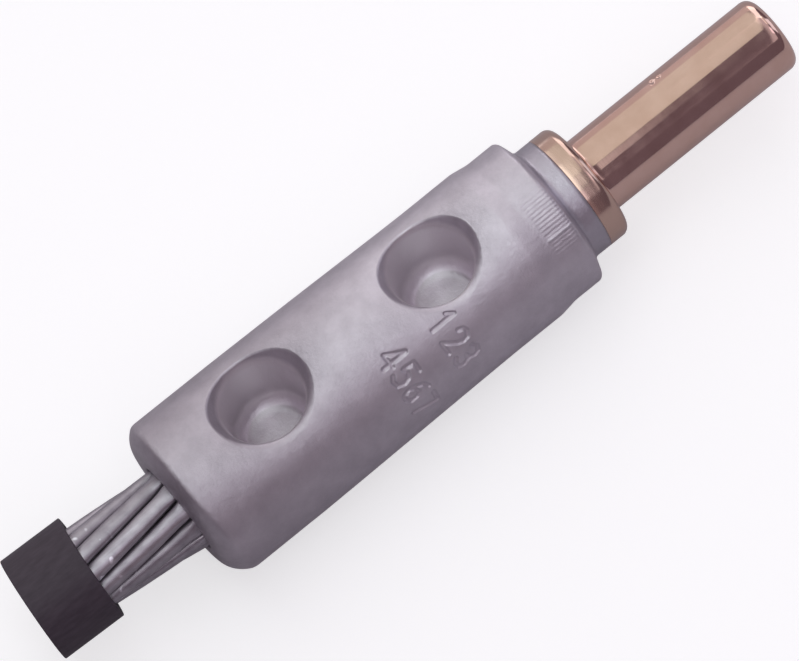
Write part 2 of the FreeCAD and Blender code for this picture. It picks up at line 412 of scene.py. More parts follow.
def dent_rings(place, edge):
    """Rings of a dent's patch, from its centre to the edge points of the skin's grid."""
    steps, profile = dent_profile()
    side = np.arctan2(edge[:, 1], edge[:, 2])
    heading = np.arctan2(side * PATCH_RADIUS, edge[:, 0] - place)
    reaches = np.linspace(DENT_RADIUS + 0.01, RIM_LIMIT, 500)[:, None]
    outer = outer_at(place, reaches, heading[None])
    flared = profile[:, 0] > DENT_RADIUS + 0.001
    wall = np.interp(reaches[:, 0], profile[flared, 0], profile[flared, 1])[:, None]
    rim = reaches[np.argmax(wall > outer[..., 2], axis=0), 0]
    rim_step = np.interp(rim, profile[flared, 0], steps[flared])
    leaning = np.clip(-np.sin(heading), 0, 1)
    inner_soft = RIM_SOFT_IN[0] + RIM_SOFT_IN[1] * leaning
    outer_soft = RIM_SOFT_OUT[0] + RIM_SOFT_OUT[1] * leaning
    fillet_start = DENT_RADIUS - DENT_FLOOR_FILLET
    fillet_end = fillet_start + DENT_FLOOR_FILLET * math.pi / 2

    def on_profile(at):
        reach = np.interp(at, steps, profile[:, 0])
        height = np.interp(at, steps, profile[:, 1])
        return np.stack([place + reach * np.cos(heading), reach * np.sin(heading), height], -1)

    rings = []
    floor_steps = np.linspace(fillet_start / 4, fillet_start, 4)
    fillet_steps = np.linspace(fillet_start, fillet_end, 9)[1:]
    for at in [*floor_steps, *fillet_steps]:
        rings.append(on_profile(np.full_like(heading, at)))
    wall_end = rim_step - inner_soft
    for way in np.linspace(0, 1, 21)[1:]:
        rings.append(on_profile(fillet_end + (wall_end - fillet_end) * way))
    skin = outer_at(place, rim + outer_soft, heading)
    rings += bend(rings[-1], on_profile(rim_step), skin)
    skin_side = np.arctan2(skin[:, 1], skin[:, 2])
    for way in np.linspace(0, 1, 15)[1:-1]:
        eased = way * (1 - PATCH_EASE + PATCH_EASE * way)
        x = skin[:, 0] + (edge[:, 0] - skin[:, 0]) * eased
        rings.append(skin_ring(x, math.pi / 2 - (skin_side + (side - skin_side) * eased)))
    return rings


def barrel_rings():
    """Rings of the barrel from the bottom of the bore, out round the lip and on to the weld.

    Also the numbers of the first and the last ring of each dent's patch."""
    angle = ring_angles(BARREL_TURNS)
    bore = radial(angle) * BORE_RADIUS
    rings = []
    inside = np.concatenate([[BORE_BOTTOM], np.arange(BORE_BOTTOM - 1, MOUTH + 1, -BORE_STEP)])
    for x in inside:
        rings.append(squeezed(np.full(BARREL_TURNS, x), bore) + [x, 0, 0])
    for k in range(5):
        way = math.pi / 2 * k / 4
        radius = BORE_RADIUS + BORE_EDGE * (1 - math.cos(way))
        rings.append(ring_at(MOUTH + BORE_EDGE * (1 - math.sin(way)), angle, radius))
    flat = lip_radius(np.zeros(BARREL_TURNS), angle)
    start = BORE_RADIUS + BORE_EDGE
    for way in (0.5, 0.9):
        rings.append(ring_at(MOUTH, angle, start + (flat - start) * way))
    crease = lip_crease(angle)
    for way in np.linspace(0.04, 1, 14):
        at = crease * way * (1 - CREASE_BACK)
        rings.append(ring_at(lip_x(at), angle, lip_radius(at, angle)))
    crease_x = lip_x(crease)
    soft_x = crease_x + CREASE_SOFT
    rings += bend(rings[-1], skin_ring(crease_x, angle), skin_ring(soft_x, angle))
    at = DENT_PATCHES[0][0]
    for way in np.linspace(0, 1, 14)[1:]:
        rings.append(skin_ring(soft_x + (at - soft_x) * way, angle))
    spans = []
    for patch_start, patch_end in DENT_PATCHES:
        rings += skin_run(at, patch_start, angle)
        first = len(rings) - 1
        rings += skin_run(patch_start, patch_end, angle)
        spans.append((first, len(rings) - 1))
        at = patch_end
    front = rounded_outline(
        [
            (at, FRONT_RADIUS, 0),
            (BAND_STEP, FRONT_RADIUS, BAND_STEP_ROUND),
            (BAND_START, BAND_RADIUS, BAND_STEP_ROUND),
            (SHOULDER, BAND_RADIUS, SHOULDER_ROUND),
            (COLLAR_ROOT, COLLAR_RADIUS, COLLAR_ROUND),
            (WELD, COLLAR_RADIUS, 0),
        ],
        7,
    )
    for x, radius in divided(front, SKIN_STEP)[1:]:
        rings.append(ring_at(x, angle, radius - drawn_in(x, side_of(angle))))
    return rings, spans


# Marks pressed into the skin

# Fine lines of a gripping jaw on the band, strongest where they begin, and a ridge among them
JAW_START = -12.7
JAW_END = -7.9
JAW_RUN_IN = 0.5
JAW_RUN_OUT = 0.3
JAW_FROM = math.radians(99.5)
JAW_TO = math.radians(147.0)
JAW_PITCH = 0.6
JAW_DEPTH = 0.042
JAW_FADE = 0.06
JAW_FIRST = 1.7
JAW_RIDGE_AT = math.radians(132.6)
JAW_RIDGE_HEIGHT = 0.13
JAW_RIDGE_WIDTH = 0.28
JAW_RIDGE_LOSS = 0.2

# Stamped digits. Their strokes fade out between two shares of the stroke's half-width
DIGIT_HEIGHT = 4.0
DIGIT_WIDTH = 2.1
DIGIT_DEPTH = 0.26
DIGIT_STROKE = 0.23
DIGIT_FADE = (0.6, 1.9)
# Rows of digits: the digits, x of their feet, angle of the first and pitch
DIGIT_ROWS = [
    ("123", -33.3, math.radians(129.5), 3.35),
    ("4567", -42.1, math.radians(127.0), 3.15),
]
# Strokes of the digits, in shares of their width and height
DIGIT_STROKES = {
    "1": [[(0.2, 0.75), (0.55, 1), (0.55, 0)]],
    "2": [[(0.05, 0.75), (0.2, 0.95), (0.5, 1), (0.85, 0.9), (0.95, 0.7), (0.8, 0.5), (0.05, 0),
           (1, 0)]],
    "3": [[(0.05, 0.85), (0.35, 1), (0.75, 0.95), (0.9, 0.75), (0.75, 0.55), (0.4, 0.5)],
          [(0.4, 0.5), (0.8, 0.45), (0.95, 0.25), (0.8, 0.05), (0.4, 0), (0.05, 0.12)]],
    "4": [[(0.75, 0), (0.75, 1), (0, 0.3), (1, 0.3)]],
    "5": [[(0.9, 1), (0.2, 1), (0.12, 0.55), (0.5, 0.63), (0.85, 0.52), (0.97, 0.3), (0.8, 0.05),
           (0.4, 0), (0.05, 0.1)]],
    "6": [[(0.85, 0.97), (0.45, 0.85), (0.12, 0.5), (0.05, 0.25), (0.25, 0.02), (0.6, 0),
           (0.92, 0.15), (0.92, 0.42), (0.65, 0.56), (0.3, 0.5), (0.1, 0.35)]],
    "7": [[(0.05, 1), (0.97, 1), (0.4, 0)]],
}

# Room round the digits that is divided finely: along X, and in shares of a digit's width
DIGIT_ROOM_X = 0.6
DIGIT_ROOM_WIDTH = 0.8
# Beyond this radius a face belongs to the outer skin, and this near to the skin a point lies on it
OUTER_FROM = 11.4
SKIN_TOLERANCE = 0.04


def jaw_marks(x, angle):
    """Depth of the fine lines that a gripping jaw left on the band."""
    across = (angle - JAW_FROM) * BAND_RADIUS
    lines = 0.5 - 0.5 * np.cos(TURN * across / JAW_PITCH)
    strong = smooth_step(angle, JAW_FROM, JAW_FROM + JAW_FADE)
    strong = strong * (JAW_FIRST - (JAW_FIRST - 1) * smooth_step(angle, JAW_FROM, JAW_RIDGE_AT))
    past_ridge = smooth_step(angle, JAW_RIDGE_AT, JAW_RIDGE_AT + JAW_FADE)
    strong = strong * (1 - JAW_RIDGE_LOSS * past_ridge)
    strong = strong * (1 - smooth_step(angle, JAW_TO - JAW_FADE, JAW_TO))
    ends = smooth_step(x, JAW_START, JAW_START + JAW_RUN_IN)
    ends = ends * (1 - smooth_step(x, JAW_END - JAW_RUN_OUT, JAW_END))
    ridge = np.exp(-(((angle - JAW_RIDGE_AT) * BAND_RADIUS / JAW_RIDGE_WIDTH) ** 2))
    return ends * (JAW_DEPTH * lines * strong - JAW_RIDGE_HEIGHT * ridge)


def digit_marks(x, angle):
    """Depth of the plain digits stamped in the skin. Their tops point along +X."""
    full, gone = (DIGIT_STROKE * share for share in DIGIT_FADE)
    depth = np.zeros_like(x)
    for digits, foot, first, pitch in DIGIT_ROWS:
        for i, digit in enumerate(digits):
            u = (angle - first) * FRONT_RADIUS - pitch * i + DIGIT_WIDTH / 2
            v = x - foot
            for stroke in DIGIT_STROKES[digit]:
                for (u0, v0), (u1, v1) in zip(stroke, stroke[1:]):
                    a = np.array([u0 * DIGIT_WIDTH, v0 * DIGIT_HEIGHT])
                    run = np.array([u1 * DIGIT_WIDTH, v1 * DIGIT_HEIGHT]) - a
                    way = np.clip(((u - a[0]) * run[0] + (v - a[1]) * run[1]) / (run @ run), 0, 1)
                    away = np.hypot(u - a[0] - way * run[0], v - a[1] - way * run[1])
                    depth = np.maximum(depth, DIGIT_DEPTH * (1 - smooth_step(away, full, gone)))
    return depth


def zone_faces(bm, x_low, x_high, angle_low, angle_high):
    """Faces of the outer skin between two places along the axis and two angles round it."""
    chosen = []
    for face in bm.faces:
        centre = face.calc_center_median()
        if not x_low < centre.x < x_high or math.hypot(centre.y, centre.z) < OUTER_FROM:
            continue
        if angle_low < math.atan2(centre.z, centre.y) % TURN < angle_high:
            chosen.append(face)
    return chosen


def mark_skin(bm):
    """Divides the skin finely where it is marked, then presses the marks in."""
    zones = [(JAW_START, JAW_END, JAW_FROM, JAW_TO)]
    for digits, foot, first, pitch in DIGIT_ROWS:
        room = DIGIT_ROOM_WIDTH * DIGIT_WIDTH
        top = foot + DIGIT_HEIGHT + DIGIT_ROOM_X
        high = first + (pitch * (len(digits) - 1) + room) / FRONT_RADIUS
        zones.append((foot - DIGIT_ROOM_X, top, first - room / FRONT_RADIUS, high))
    for zone in zones:
        edges = {edge for face in zone_faces(bm, *zone) for edge in face.edges}
        bmesh.ops.subdivide_edges(bm, edges=list(edges), cuts=3, use_grid_fill=True)
    bm.verts.ensure_lookup_table()
    points = np.array([vertex.co for vertex in bm.verts])
    angle = np.arctan2(points[:, 2], points[:, 1]) % TURN
    radius = np.hypot(points[:, 1], points[:, 2])
    x = points[:, 0]
    skin = skin_radius(x, angle)
    on_skin = (x > MOUTH + LIP_LENGTH) & (x < BAND_STEP - 1)
    on_skin = on_skin & (np.abs(radius - skin) < SKIN_TOLERANCE)
    target = np.where(on_skin, skin - digit_marks(x, angle), radius)
    on_band = (x > BAND_START - 1) & (x < COLLAR_ROOT) & (radius > OUTER_FROM)
    target = np.where(on_band, target - jaw_marks(x, angle), target)
    for i in np.nonzero(np.abs(target - radius) > 1e-5)[0]:
        bm.verts[i].co.yz = points[i, 1:] * (target[i] / radius[i])


def barrel(material):
    """The barrel as one closed mesh, with a patch of finer rings for each dent."""
    rings, spans = barrel_rings()
    count = BARREL_TURNS
    points = np.concatenate(rings)
    half = round(PATCH_HALF / TURN * count)
    top = count // 4
    low_k, high_k = top - half, top + half
    faces = []
    for j in range(len(rings) - 1):
        in_patch = any(first <= j < last for first, last in spans)
        for k in range(count):
            if in_patch and low_k <= k < high_k:
                continue
            a = j * count + k
            b = j * count + (k + 1) % count
            faces.append((a, b, b + count, a + count))
    faces += end_faces(count, len(rings))
    for place, (first, last) in zip(DENT_PLACES, spans):
        edge = [first * count + k for k in range(low_k, high_k)]
        edge += [j * count + high_k for j in range(first, last)]
        edge += [last * count + k for k in range(high_k, low_k, -1)]
        edge += [j * count + low_k for j in range(last, first, -1)]
        inner = dent_rings(place, points[edge])
        base = len(points)
        n = len(edge)
        points = np.concatenate([points, [[place, 0, DENT_FLOOR]]] + inner)
        for k in range(n):
            faces.append((base, base + 1 + k, base + 1 + (k + 1) % n))
        faces += ring_faces(n, len(inner), base + 1)
        start = base + 1 + (len(inner) - 1) * n
        for k in range(n):
            faces.append((start + k, start + (k + 1) % n, edge[(k + 1) % n], edge[k]))
    make_piece("barrel_shell", points, faces, material, ["barrel"], mark_skin)


# Pin

# Nicks of the pin: x, angle round the axis, length, width and depth
PIN_NICKS = [
    (14.6, math.radians(59), 0.3, 0.6, 0.12),
    (15.8, math.radians(60), 0.2, 0.35, 0.08),
]
# Distance round each nick in which the mesh is divided finely
NICK_REACH = 1.6


def nick_pin(bm):
    """Presses a few small nicks in the pin, as handling leaves them."""
    middles = [Vector(radial(angle) * PIN_RADIUS + [x, 0, 0]) for x, angle, *_ in PIN_NICKS]
    edges = set()
    for face in bm.faces:
        centre = face.calc_center_median()
        if min((centre - middle).length for middle in middles) < NICK_REACH:
            edges.update(face.edges)
    bmesh.ops.subdivide_edges(bm, edges=list(edges), cuts=4, use_grid_fill=True)
    for vertex in bm.verts:
        radius = math.hypot(vertex.co.y, vertex.co.z)
        # Only the pin's side takes nicks, not its end or the flange
        if radius < PIN_RADIUS * 0.9 or vertex.co.x < FLANGE_FACE + 1:
            continue
        for x, angle, length, width, depth in PIN_NICKS:
            along = (vertex.co.x - x) / length
            across = (math.atan2(vertex.co.z, vertex.co.y) - angle) * PIN_RADIUS / width
            vertex.co.yz *= 1 - depth * math.exp(-(along**2 + across**2)) / radius


def copper_pin(material):
    """Flange and pin as one closed turned mesh."""
    outline = rounded_outline(
        [
            (WELD, 0, 0),
            (WELD, WELD_RADIUS, WELD_EDGE),
            (FLANGE_FACE, WELD_RADIUS, FLANGE_EDGE),
            (FLANGE_FACE, PIN_RADIUS, PIN_ROOT),
            (PIN_TIP, PIN_RADIUS, PIN_TIP_EDGE),
            (PIN_TIP, 0, 0),
        ],
        10,
    )
    angle = ring_angles(PIN_TURNS)
    rings = [ring_at(x, angle, radius) for x, radius in divided(outline, PIN_STEP)[1:-1]]
    faces = ring_faces(PIN_TURNS, len(rings)) + end_faces(PIN_TURNS, len(rings))
    points = np.concatenate(rings)
    make_piece("pin_turned", points, faces, material, ["pin"], nick_pin)


# Cable

def cable_axis(x):
    """Points of the cable's axis."""
    x = np.asarray(x, float)
    bare = np.maximum(0, MOUTH - np.maximum(x, STRIP_EDGE))
    covered = np.maximum(0, STRIP_EDGE - x)
    shift = bare * math.tan(BARE_LEAN) + covered * math.tan(CABLE_LEAN)
    return np.stack([x, 0 * x, 0 * x], -1) + radial(LEAN_TOWARDS) * shift[..., None]


def cut_normal():
    return np.array([math.cos(CUT_SLANT), 0, 0]) + radial(CUT_TOWARDS) * math.sin(CUT_SLANT)


def spread(x):
    """Growth of the conductor as its strands open into the bore."""
    at_mouth = (BORE_RADIUS - MOUTH_PLAY) / CONDUCTOR_RADIUS - 1
    at_grip = (BORE_RADIUS - GRIP_PLAY) / CONDUCTOR_RADIUS - 1
    open_way = np.clip((x - STRIP_EDGE) / (MOUTH - STRIP_EDGE), 0, 1)
    grip_way = np.clip((x - MOUTH) / (GRIP_START - MOUTH), 0, 1)
    return at_mouth * open_way**2 + (at_grip - at_mouth) * grip_way


def strand_stations():
    open_part = np.linspace(CABLE_END, GRIP_START, 40)
    grip_part = np.linspace(GRIP_START, BORE_BOTTOM - GRIP_PLAY, 45)
    return np.concatenate([open_part, grip_part[1:]])


def lay_turn(x):
    """Angle by which the lay has turned the strands at x."""
    return LAY_PHASE - TURN * (x - MOUTH) / LAY_LENGTH


def signed_power(value, exponent):
    return np.sign(value) * np.abs(value) ** exponent


def strand_points(x, low, high, count, number, corners):
    """Rings of one strand at stations x, as (stations, corners, 3)."""
    middle = (low + high) / 2
    way = ring_angles(corners)
    grip = smooth_step(x, MOUTH - 2, GRIP_START)[:, None]
    squareness = OPEN_SQUARENESS + (GRIPPED_SQUARENESS - OPEN_SQUARENESS) * grip
    outwards = signed_power(np.sin(way)[None], 2 / squareness)
    across = signed_power(np.cos(way)[None], 2 / squareness)
    radius = middle + outwards * (high - low) / 2
    angle = across * (math.pi / count - STRAND_GAP / radius)
    out = radius * np.cos(angle) + spread(x)[:, None] * middle
    turn = lay_turn(x) + TURN * number / count
    offset = radial(turn)[:, None] * out[..., None]
    offset = offset + radial(turn + math.pi / 2)[:, None] * (radius * np.sin(angle))[..., None]
    return place_on_cable(x, offset)


def place_on_cable(x, offset):
    """Moves sections from the axis to the cable, squeezed in the barrel, with a slanted end cut."""
    inside = (x > MOUTH)[:, None, None]
    offset = np.where(inside, squeezed(x[:, None] + 0 * offset[..., 0], offset), offset)
    points = cable_axis(x)[:, None] + offset
    normal = cut_normal()
    centre = cable_axis(CABLE_END)
    over = ((points[0] - centre) @ normal) / normal[0]
    fade = np.clip(1 - (x - CABLE_END) / CUT_REACH, 0, 1)[:, None]
    points[..., 0] -= over[None] * fade
    return points


def strand_piece(name, node, points, material):
    stations, corners = points.shape[:2]
    faces = ring_faces(corners, stations) + end_faces(corners, stations)
    make_piece(name, points.reshape(-1, 3), faces, material, [node])


def conductor(material):
    """The core, the inner layer and the outer layer of the cable."""
    x = strand_stations()
    core = radial(lay_turn(x)[:, None] + ring_angles(CORE_TURNS)[None]) * CORE_RADIUS
    strand_piece("strand_core", "wire_core", place_on_cable(x, core), material)
    for layer, count, low, high, corners in LAYERS:
        for number in range(1, count + 1):
            points = strand_points(x, low, high, count, number, corners)
            strand_piece(f"strand_{layer}_{number}", f"wire_{layer}_{number}", points, material)


def insulation(material):
    """Sleeve with both ends cut on the slant and their outer edges slightly broken."""
    angle = ring_angles(INSULATION_TURNS)
    # The sleeve's axis runs from a place behind the cut to the strip edge
    back = cable_axis(CABLE_END - 8)
    along = cable_axis(STRIP_EDGE) - back
    along /= np.linalg.norm(along)
    side_y = np.cross([0, 0, 1], along)
    side_y /= np.linalg.norm(side_y)
    side_z = np.cross(along, side_y)
    ring = np.cos(angle)[:, None] * side_y + np.sin(angle)[:, None] * side_z
    normal = cut_normal()

    # Rings of the sleeve, each by its share of the length, its shift along it and its radius
    edge = []
    for k in range(6):
        way = math.pi / 2 * k / 5
        shift = INSULATION_EDGE * (1 - math.sin(way))
        edge.append((shift, INSULATION_RADIUS - INSULATION_EDGE * (1 - math.cos(way))))
    outline = [(0, shift, radius) for shift, radius in reversed(edge)]
    outline += [(share, 0, INSULATION_RADIUS) for share in np.linspace(0.05, 0.95, 12)]
    outline += [(1, -shift, radius) for shift, radius in edge]
    outline += [(1, 0, INSULATION_BORE), (0, 0, INSULATION_BORE)]

    rings = []
    for share, shift, radius in outline:
        base = back + ring * radius
        ends = []
        for x in (CABLE_END, STRIP_EDGE):
            centre = cable_axis(x)
            ends.append(((centre - base) @ normal) / (along @ normal))
        way = ends[0] + (ends[1] - ends[0]) * share + shift
        rings.append(base + along * way[:, None])
    turns = INSULATION_TURNS
    faces = ring_faces(turns, len(rings))
    last = (len(rings) - 1) * turns
    for k in range(turns):
        after = (k + 1) % turns
        faces.append((last + k, last + after, after, k))
    points = np.concatenate(rings)
    make_piece("cable_insulation", points, faces, material, ["insulation"])


# Materials. A pair of colours or of roughnesses goes with the low and the high of a noise

BARREL_COLOURS = ((0.56, 0.515, 0.575), (0.68, 0.63, 0.695))
BARREL_ROUGHNESS = (0.40, 0.55)
BARREL_METALLIC = 0.9
DENT_ROUGHNESS = 0.34
# Painted light: a lighter colour on the dents' walls, standing in for light that reaches into the
# dents
WALL_PAINTED_LIGHT = (0.91, 0.86, 0.90)
WALL_ROUGHNESS = 0.42
# Painted shade: a darker colour on the dents' floors, at the bottom of the recesses
FLOOR_PAINTED_SHADE = (0.76, 0.76, 0.75)
COLLAR_SHADE = (0.80, 0.80, 0.82)
COLLAR_ROUGHNESS = 0.36
# Painted shade: the skin darkens towards the mouth, where less light falls
MOUTH_PAINTED_SHADE = (0.80, 0.785, 0.79)

COPPER_COLOURS = ((0.78, 0.52, 0.44), (0.84, 0.58, 0.50))
COPPER_ROUGHNESS = (0.08, 0.12)
FLANGE_COLOUR = (0.69, 0.485, 0.405)
FLANGE_ROUGHNESS = 0.17

STRAND_COLOURS = ((0.32, 0.29, 0.33), (0.44, 0.405, 0.45))
STRAND_ROUGHNESS = (0.30, 0.44)
STRAND_METALLIC = 0.85
# Painted highlight: the colour of small glints on the strands near the strip edge
PAINTED_GLINT_COLOUR = (0.85, 0.83, 0.90)

BLACK_COLOURS = ((0.044, 0.031, 0.044), (0.064, 0.047, 0.064))
BLACK_ROUGHNESS = 0.55
BLACK_SPECULAR = 0.35

PAPER_COLOUR = (0.52, 0.50, 0.53)
PAPER_GLOW = (0.62, 0.62, 0.62)
PAPER_ROUGHNESS = 0.9

# Where a look fades in, from none of it to all of it: heights, stations, radii and a noise
WALL_HEIGHTS = (-1.5, 0.0)
FLOOR_HEIGHTS = (-1.65, -1.85)
RIM_RADII = (6.9, 6.3)
COLLAR_STATIONS = (-7.9, -7.1)
MOUTH_STATIONS = (-22.0, -74.0)
FLANGE_RADII = (PIN_RADIUS + 0.1, PIN_RADIUS + 0.6)
GLINT_STATIONS = (STRIP_EDGE + 5, STRIP_EDGE + 3.5)
GLINT_NOISE = (0.68, 0.80)


def greys(values):
    return [(value, value, value) for value in values]


def new_material(name):
    material = bpy.data.materials.new(name)
    material.use_nodes = True
    nodes = material.node_tree.nodes
    shader = nodes["Principled BSDF"]
    return material, nodes, material.node_tree.links, shader


def noise_node(nodes, links, coords, scale, detail, roughness=0.55, stretch=(1, 1, 1)):
    """Noise in the object's own space, in millimetres."""
    mapping = nodes.new("ShaderNodeMapping")
    mapping.inputs["Scale"].default_value = tuple(s / MM for s in stretch)
    links.new(coords.outputs["Object"], mapping.inputs["Vector"])
    texture = nodes.new("ShaderNodeTexNoise")
    texture.inputs["Scale"].default_value = scale
    texture.inputs["Detail"].default_value = detail
    texture.inputs["Roughness"].default_value = roughness
    links.new(mapping.outputs["Vector"], texture.inputs["Vector"])
    return texture.outputs["Fac"]


def ramp_node(nodes, links, source, colours, low=0.3, high=0.7):
    """Colour that goes from the first to the second as the source goes from low to high."""
    ramp = nodes.new("ShaderNodeValToRGB")
    ramp.color_ramp.elements[0].position = low
    ramp.color_ramp.elements[0].color = (*colours[0], 1)
    ramp.color_ramp.elements[1].position = high
    ramp.color_ramp.elements[1].color = (*colours[1], 1)
    links.new(source, ramp.inputs["Fac"])
    return ramp.outputs["Color"]


def bump_node(nodes, links, height, strength, distance, normal=None):
    """Bumps of a distance in millimetres, over those of the normal where one is given."""
    bump = nodes.new("ShaderNodeBump")
    bump.inputs["Strength"].default_value = strength
    bump.inputs["Distance"].default_value = distance * MM
    links.new(height, bump.inputs["Height"])
    if normal is not None:
        links.new(normal, bump.inputs["Normal"])
    return bump.outputs["Normal"]


def ranged(nodes, links, value, low, high):
    """0 where the value is at low or beyond, 1 at high or beyond."""
    node = nodes.new("ShaderNodeMapRange")
    node.interpolation_type = "SMOOTHSTEP"
    node.inputs["From Min"].default_value = low
    node.inputs["From Max"].default_value = high
    links.new(value, node.inputs["Value"])
    return node.outputs["Result"]


def mixed(nodes, links, factor, first, second, blend="MIX"):
    """Colour that goes from the first, a socket, to the second, plain numbers."""
    node = nodes.new("ShaderNodeMix")
    node.data_type = "RGBA"
    node.blend_type = blend
    links.new(factor, node.inputs[0])
    links.new(first, node.inputs[6])
    node.inputs[7].default_value = (*second, 1)
    return node.outputs[2]


def mixed_grey(nodes, links, factor, first, value):
    return mixed(nodes, links, factor, first, (value, value, value))


def combined(nodes, links, operation, first, second):
    """Number from two sockets."""
    node = nodes.new("ShaderNodeMath")
    node.operation = operation
    links.new(first, node.inputs[0])
    links.new(second, node.inputs[1])
    return node.outputs["Value"]


def moved(nodes, links, operation, source, numbers):
    """Vector from a socket and plain numbers."""
    node = nodes.new("ShaderNodeVectorMath")
    node.operation = operation
    links.new(source, node.inputs[0])
    node.inputs[1].default_value = numbers
    return node.outputs["Vector"]


def length_of(nodes, links, source):
    node = nodes.new("ShaderNodeVectorMath")
    node.operation = "LENGTH"
    links.new(source, node.inputs[0])
    return node.outputs["Value"]


def place_in_mm(nodes, links, coords):
    """Place in the object's own space in millimetres, whole and as its X, Y and Z."""
    place = moved(nodes, links, "MULTIPLY", coords.outputs["Object"], (1 / MM, 1 / MM, 1 / MM))
    parts = nodes.new("ShaderNodeSeparateXYZ")
    links.new(place, parts.inputs["Vector"])
    return place, parts.outputs


def in_dents(nodes, links, place):
    """1 inside the dents' rims, seen along the punch, and 0 outside."""
    found = []
    for dent_place in DENT_PLACES:
        shifted = moved(nodes, links, "SUBTRACT", place, (dent_place, 0, 0))
        flat = moved(nodes, links, "MULTIPLY", shifted, (1, 1, 0))
        found.append(ranged(nodes, links, length_of(nodes, links, flat), *RIM_RADII))
    return combined(nodes, links, "MAXIMUM", *found)


def aluminium_cast():
    """Satin aluminium with cloudy patches, dimples and a fine blasted grain, the barrel's skin.

    The dents' walls are lightened by painted light, their floors burnished and darkened by painted
    shade. Painted shade darkens the skin towards the mouth, and the collar is turned smooth."""
    material, nodes, links, shader = new_material("barrel_aluminium")
    coords = nodes.new("ShaderNodeTexCoord")
    cloud = noise_node(nodes, links, coords, 0.28, 6, 0.62)
    dimples = noise_node(nodes, links, coords, 1.1, 4)
    grain = noise_node(nodes, links, coords, 2.6, 4, 0.7)

    place, parts = place_in_mm(nodes, links, coords)
    dent = in_dents(nodes, links, place)
    above_floor = ranged(nodes, links, parts["Z"], *WALL_HEIGHTS)
    at_floor = ranged(nodes, links, parts["Z"], *FLOOR_HEIGHTS)
    wall = combined(nodes, links, "MULTIPLY", dent, above_floor)
    bottom = combined(nodes, links, "MULTIPLY", dent, at_floor)
    collar = ranged(nodes, links, parts["X"], *COLLAR_STATIONS)
    mouth = ranged(nodes, links, parts["X"], *MOUTH_STATIONS)

    colour = ramp_node(nodes, links, cloud, BARREL_COLOURS)
    # Painted shade that darkens the skin towards the mouth
    colour = mixed(nodes, links, mouth, colour, MOUTH_PAINTED_SHADE, "MULTIPLY")
    # Painted light that lightens the dents' walls
    colour = mixed(nodes, links, wall, colour, WALL_PAINTED_LIGHT)
    # Painted shade that darkens the dents' floors
    colour = mixed(nodes, links, bottom, colour, FLOOR_PAINTED_SHADE, "MULTIPLY")
    colour = mixed(nodes, links, collar, colour, COLLAR_SHADE, "MULTIPLY")
    links.new(colour, shader.inputs["Base Color"])

    rough = ramp_node(nodes, links, grain, greys(BARREL_ROUGHNESS), 0.25, 0.75)
    rough = mixed_grey(nodes, links, dent, rough, DENT_ROUGHNESS)
    rough = mixed_grey(nodes, links, wall, rough, WALL_ROUGHNESS)
    rough = mixed_grey(nodes, links, collar, rough, COLLAR_ROUGHNESS)
    links.new(rough, shader.inputs["Roughness"])

    normal = bump_node(nodes, links, grain, 0.6, 0.08)
    normal = bump_node(nodes, links, dimples, 0.5, 0.1, normal)
    normal = bump_node(nodes, links, cloud, 0.3, 0.2, normal)
    links.new(normal, shader.inputs["Normal"])
    shader.inputs["Metallic"].default_value = BARREL_METALLIC
    return material


def copper_polished():
    """Polished copper with fine turning lines. The flange is browner and less polished."""
    material, nodes, links, shader = new_material("pin_copper")
    coords = nodes.new("ShaderNodeTexCoord")
    lines = noise_node(nodes, links, coords, 1.0, 3, stretch=(6.0, 0.4, 0.4))
    cloud = noise_node(nodes, links, coords, 0.25, 3)
    from_axis = moved(nodes, links, "MULTIPLY", coords.outputs["Object"], (0, 1 / MM, 1 / MM))
    flange = ranged(nodes, links, length_of(nodes, links, from_axis), *FLANGE_RADII)

    colour = ramp_node(nodes, links, cloud, COPPER_COLOURS)
    colour = mixed(nodes, links, flange, colour, FLANGE_COLOUR)
    links.new(colour, shader.inputs["Base Color"])
    rough = ramp_node(nodes, links, cloud, greys(COPPER_ROUGHNESS))
    rough = mixed_grey(nodes, links, flange, rough, FLANGE_ROUGHNESS)
    links.new(rough, shader.inputs["Roughness"])
    links.new(bump_node(nodes, links, lines, 0.08, 0.02), shader.inputs["Normal"])
    shader.inputs["Metallic"].default_value = 1.0
    return material


def aluminium_drawn():
    """Drawn aluminium strands with lines along them and dull patches.

    Painted glints, small bright specks of painted highlight, lie near the strip edge."""
    material, nodes, links, shader = new_material("strand_aluminium")
    coords = nodes.new("ShaderNodeTexCoord")
    lines = noise_node(nodes, links, coords, 1.0, 4, stretch=(0.12, 3.5, 3.5))
    cloud = noise_node(nodes, links, coords, 0.5, 4)
    # Noise that places the painted glints
    nicks = noise_node(nodes, links, coords, 0.75, 0)
    parts = place_in_mm(nodes, links, coords)[1]
    near_edge = ranged(nodes, links, parts["X"], *GLINT_STATIONS)
    painted_glints = ranged(nodes, links, nicks, *GLINT_NOISE)
    glint_mask = combined(nodes, links, "MULTIPLY", near_edge, painted_glints)

    colour = ramp_node(nodes, links, cloud, STRAND_COLOURS)
    # Painted highlight: bright glints near the strip edge
    colour = mixed(nodes, links, glint_mask, colour, PAINTED_GLINT_COLOUR)
    links.new(colour, shader.inputs["Base Color"])
    rough = ramp_node(nodes, links, lines, greys(STRAND_ROUGHNESS))
    links.new(rough, shader.inputs["Roughness"])
    links.new(bump_node(nodes, links, lines, 0.2, 0.04), shader.inputs["Normal"])
    shader.inputs["Metallic"].default_value = STRAND_METALLIC
    return material


def black_insulation():
    """Black polyethylene with a faint drawn grain."""
    material, nodes, links, shader = new_material("insulation_black")
    coords = nodes.new("ShaderNodeTexCoord")
    grain = noise_node(nodes, links, coords, 1.0, 4, stretch=(0.4, 1.6, 1.6))
    links.new(ramp_node(nodes, links, grain, BLACK_COLOURS), shader.inputs["Base Color"])
    links.new(bump_node(nodes, links, grain, 0.15, 0.05), shader.inputs["Normal"])
    shader.inputs["Roughness"].default_value = BLACK_ROUGHNESS
    shader.inputs["Specular IOR Level"].default_value = BLACK_SPECULAR
    return material


